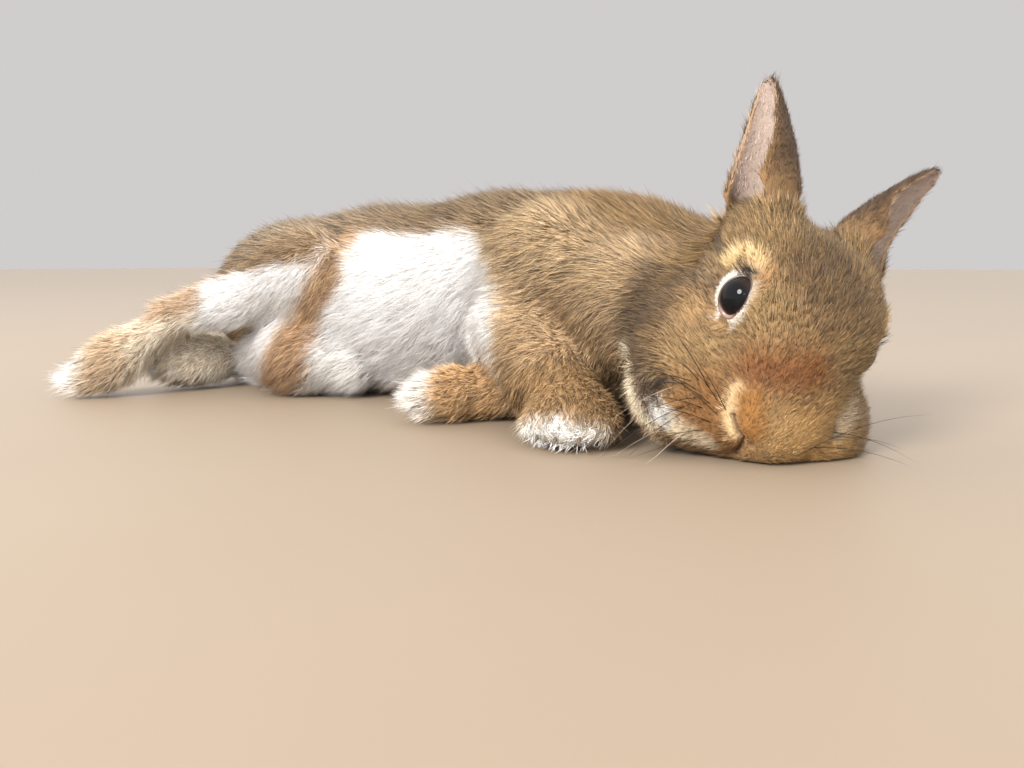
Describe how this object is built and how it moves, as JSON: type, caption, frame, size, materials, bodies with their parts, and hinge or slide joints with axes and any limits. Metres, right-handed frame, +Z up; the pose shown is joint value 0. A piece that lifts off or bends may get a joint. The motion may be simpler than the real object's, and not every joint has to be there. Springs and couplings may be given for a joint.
{
  "type": "small upright-eared rabbit lying down",
  "caption": "Life-size model of a small brown and white rabbit with upright ears, lying half on its side with its chin on the floor.",
  "frame": {"origin": "on the floor under the middle of the box round the rabbit", "axes": "+X along the back towards the head, +Y towards the spine and away from the belly, +Z up"},
  "size_m": [0.4002, 0.1917, 0.1346],
  "materials": {
    "agouti": "soft fur, matte",
    "white": "soft fur, matte",
    "tan": "short fur, matte",
    "eye": "polished"
  },
  "bodies": {
    "root": {"belly": "white", "chest": "agouti", "ear_left": "agouti", "ear_right": "agouti", "eye_left": "eye", "eye_right": "eye", "foreleg_left": "agouti", "foreleg_right": "agouti", "forepaw_right": "tan", "head": "agouti", "hindfoot_left": "tan", "hindfoot_right": "tan", "hindleg_left": "agouti", "hindleg_right": "agouti", "hindquarters": "agouti", "neck": "agouti", "tail": "white"}
  },
  "joints": []
}
